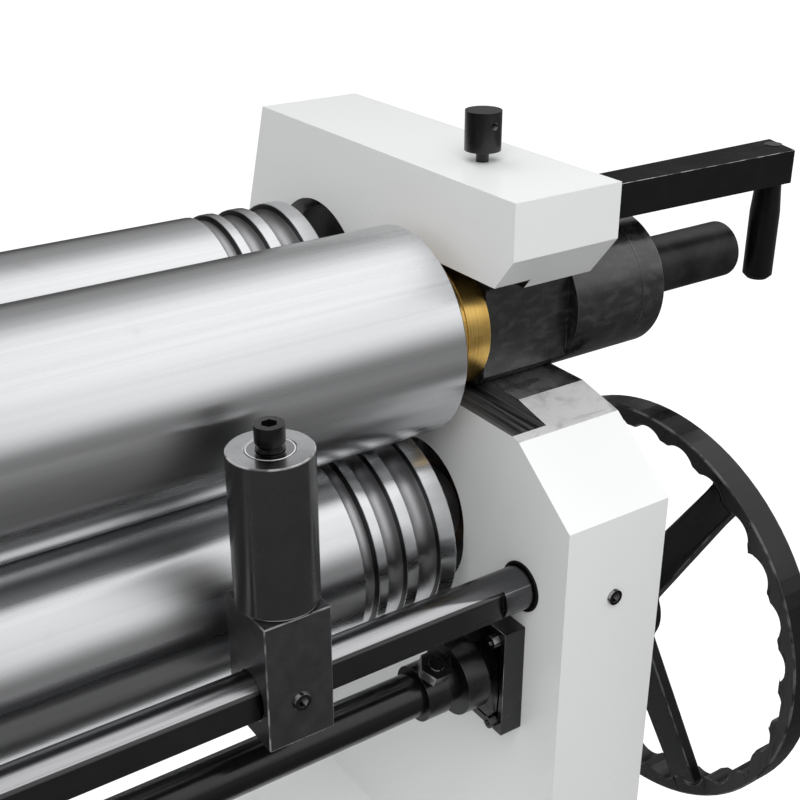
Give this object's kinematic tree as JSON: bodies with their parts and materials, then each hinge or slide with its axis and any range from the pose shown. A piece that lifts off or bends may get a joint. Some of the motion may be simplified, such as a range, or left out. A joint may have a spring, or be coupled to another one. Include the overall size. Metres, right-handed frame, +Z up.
{
  "type": "slip roll machine",
  "caption": "Floor-standing powered slip roll for bending sheet metal, with a swing-out upper roll, wire grooves, cone guide roller and handwheel.",
  "frame": {"origin": "on the floor, in the middle of the outer foot bolts", "axes": "+X along the rolls to the open end with the handwheel, +Y to the back, +Z up"},
  "size_m": [2.09, 0.5325, 1.181],
  "materials": {
    "enamel": "gloss",
    "ground_steel": "fine ground",
    "gear_steel": "machined, oily",
    "plate_steel": "milled",
    "bearing_steel": "polished",
    "black_steel": "blackened, oily",
    "black_oxide": "black oxide",
    "black_paint": "satin",
    "grey_iron": "satin",
    "ring_brass": "turned",
    "bush_bronze": "turned",
    "black_plastic": "matte",
    "panel_grey": "satin",
    "red_plastic": "gloss"
  },
  "bodies": {
    "stand": {"right_end_frame": "enamel", "left_end_frame": "enamel", "bed": "enamel", "right_pedestal": "enamel", "left_pedestal": "enamel", "frame_bolts": "black_oxide", "drive_cabinet": "enamel", "drive_cover": "enamel", "gear_plate": "plate_steel", "gearbox": "grey_iron", "motor": "grey_iron", "swivel_pins": "gear_steel", "lever_bracket": "black_steel", "shaft_bearings": "black_steel", "cap_screws": "black_oxide", "lift_cover": "enamel", "guide_set_screws": "black_oxide", "control_panel": "panel_grey"},
    "upper_carrier": {"bearing_housing": "black_steel", "housing_cap": "black_steel", "thrust_rings": "ring_brass", "upper_bushes": "bush_bronze", "swivel_block": "black_steel"},
    "upper_roll": {"upper_roll": "ground_steel"},
    "upper_gear": {"upper_gear": "gear_steel"},
    "drive_pinion": {"drive_pinion": "gear_steel"},
    "lower_carriage": {"lower_bearing_right": "black_steel", "lower_bearing_left": "black_steel", "lower_bushes": "bush_bronze"},
    "lower_roll": {"lower_roll": "ground_steel", "lower_gear": "gear_steel"},
    "rear_carriage": {"rear_bearing_right": "black_steel", "rear_bearing_left": "black_steel", "rear_bushes": "bush_bronze"},
    "rear_roll": {"rear_roll": "ground_steel"},
    "rear_screw_right": {"rear_screw_right": "gear_steel", "rear_knob_right": "black_plastic"},
    "rear_screw_left": {"rear_screw_left": "gear_steel", "rear_knob_left": "black_plastic"},
    "cross_shaft": {"cross_shaft": "black_steel", "lift_worms": "gear_steel", "handwheel": "black_paint", "wheel_bolt": "black_oxide", "shaft_collars": "black_steel"},
    "lift_screw_right": {"lift_screw_right": "gear_steel"},
    "lift_screw_left": {"lift_screw_left": "gear_steel"},
    "guide_shaft": {"guide_shaft": "black_steel"},
    "guide_block": {"guide_block": "black_steel", "guide_screws": "black_oxide"},
    "guide_roller": {"guide_roller": "black_steel", "guide_bearings": "bearing_steel"},
    "lock_screw": {"lock_screw": "black_oxide", "lock_knob": "black_oxide"},
    "release_lever": {"release_lever": "black_steel", "lever_pin": "gear_steel", "lever_handle": "black_steel"},
    "direction_switch": {"direction_switch": "black_plastic"},
    "stop_button": {"stop_button": "red_plastic"}
  },
  "joints": [
    {"name": "upper_roll_swing", "type": "hinge", "parent": "stand", "child": "upper_carrier", "pos_m": [-0.559, -0.0065, 1.053], "axis": [0, 0, -1], "range_deg": [0, 8]},
    {"name": "upper_roll_spin", "type": "hinge", "parent": "upper_carrier", "child": "upper_roll", "pos_m": [0.15, -0.0065, 1.053], "axis": [1, 0, 0], "continuous": true},
    {"name": "upper_gear_spin", "type": "hinge", "parent": "stand", "child": "upper_gear", "pos_m": [-0.628, -0.0065, 1.053], "axis": [1, 0, 0], "continuous": true},
    {"name": "pinion_spin", "type": "hinge", "parent": "stand", "child": "drive_pinion", "pos_m": [-0.628, 0.09944, 1.02461], "axis": [1, 0, 0], "continuous": true},
    {"name": "lower_roll_lift", "type": "slide", "parent": "stand", "child": "lower_carriage", "axis": [0, 0, 1], "range_m": [-0.006, 0.0035]},
    {"name": "lower_roll_spin", "type": "hinge", "parent": "lower_carriage", "child": "lower_roll", "pos_m": [0.15, -0.0025, 0.91906], "axis": [1, 0, 0], "continuous": true},
    {"name": "rear_roll_travel", "type": "slide", "parent": "stand", "child": "rear_carriage", "axis": [0, -0.3289, 0.9444], "range_m": [-0.09, 0.008]},
    {"name": "rear_roll_spin", "type": "hinge", "parent": "rear_carriage", "child": "rear_roll", "pos_m": [0.15, 0.1305, 1.034], "axis": [1, 0, 0], "continuous": true},
    {"name": "rear_knob_right_turn", "type": "hinge", "parent": "rear_carriage", "child": "rear_screw_right", "pos_m": [0.859, 0.1305, 1.034], "axis": [0, -0.3289, 0.9444], "range_deg": [-8101, 721]},
    {"name": "rear_knob_left_turn", "type": "hinge", "parent": "rear_carriage", "child": "rear_screw_left", "pos_m": [-0.559, 0.1305, 1.034], "axis": [0, -0.3289, 0.9444], "range_deg": [-8101, 721]},
    {"name": "handwheel_turn", "type": "hinge", "parent": "stand", "child": "cross_shaft", "pos_m": [0.15, -0.0875, 0.848], "axis": [1, 0, 0], "range_deg": [-3025, 1765]},
    {"name": "lift_screw_right_turn", "type": "hinge", "parent": "stand", "child": "lift_screw_right", "pos_m": [0.859, -0.0105, 0.848], "axis": [0, 0, 1], "range_deg": [-433, 253]},
    {"name": "lift_screw_left_turn", "type": "hinge", "parent": "stand", "child": "lift_screw_left", "pos_m": [-0.559, -0.0105, 0.848], "axis": [0, 0, 1], "range_deg": [-433, 253]},
    {"name": "guide_fold", "type": "hinge", "parent": "stand", "child": "guide_shaft", "pos_m": [0.15, -0.1077, 0.914], "axis": [1, 0, 0], "range_deg": [-0.5, 96.5]},
    {"name": "guide_slide", "type": "slide", "parent": "guide_shaft", "child": "guide_block", "axis": [1, 0, 0], "range_m": [-1, 0.055]},
    {"name": "guide_roller_spin", "type": "hinge", "parent": "guide_block", "child": "guide_roller", "pos_m": [0.6538, -0.1055, 1.01], "axis": [0, 0, 1], "continuous": true},
    {"name": "lock_screw_turn", "type": "hinge", "parent": "stand", "child": "lock_screw", "pos_m": [0.859, -0.0065, 1.12], "axis": [0, 0, 1], "range_deg": [-360, 360]},
    {"name": "release_lever_turn", "type": "hinge", "parent": "stand", "child": "release_lever", "pos_m": [0.918, -0.0275, 1.119], "axis": [0, 0, 1], "range_deg": [-90, 0]},
    {"name": "direction_switch_turn", "type": "hinge", "parent": "stand", "child": "direction_switch", "pos_m": [-0.71, -0.1995, 0.93], "axis": [0, 1, 0], "range_deg": [-45, 45]},
    {"name": "stop_button_press", "type": "slide", "parent": "stand", "child": "stop_button", "axis": [0, 1, 0], "range_m": [0, 0.005], "stiffness_N_per_m": 600, "springref_m": -0.002}
  ],
  "couplings": [
    {"joint": "lower_roll_spin", "follows": "upper_roll_spin", "ratio": -1},
    {"joint": "upper_gear_spin", "follows": "upper_roll_spin", "ratio": 1},
    {"joint": "pinion_spin", "follows": "upper_roll_spin", "ratio": -1.6},
    {"joint": "handwheel_turn", "follows": "lower_roll_lift", "rad_per_m": 8796.5},
    {"joint": "lift_screw_right_turn", "follows": "lower_roll_lift", "rad_per_m": 1256.6},
    {"joint": "lift_screw_left_turn", "follows": "lower_roll_lift", "rad_per_m": 1256.6},
    {"joint": "rear_knob_right_turn", "follows": "rear_roll_travel", "rad_per_m": 1570.8},
    {"joint": "rear_knob_left_turn", "follows": "rear_roll_travel", "rad_per_m": 1570.8},
    {"joint": "guide_fold", "follows": "upper_roll_swing", "ratio": 12}
  ]
}
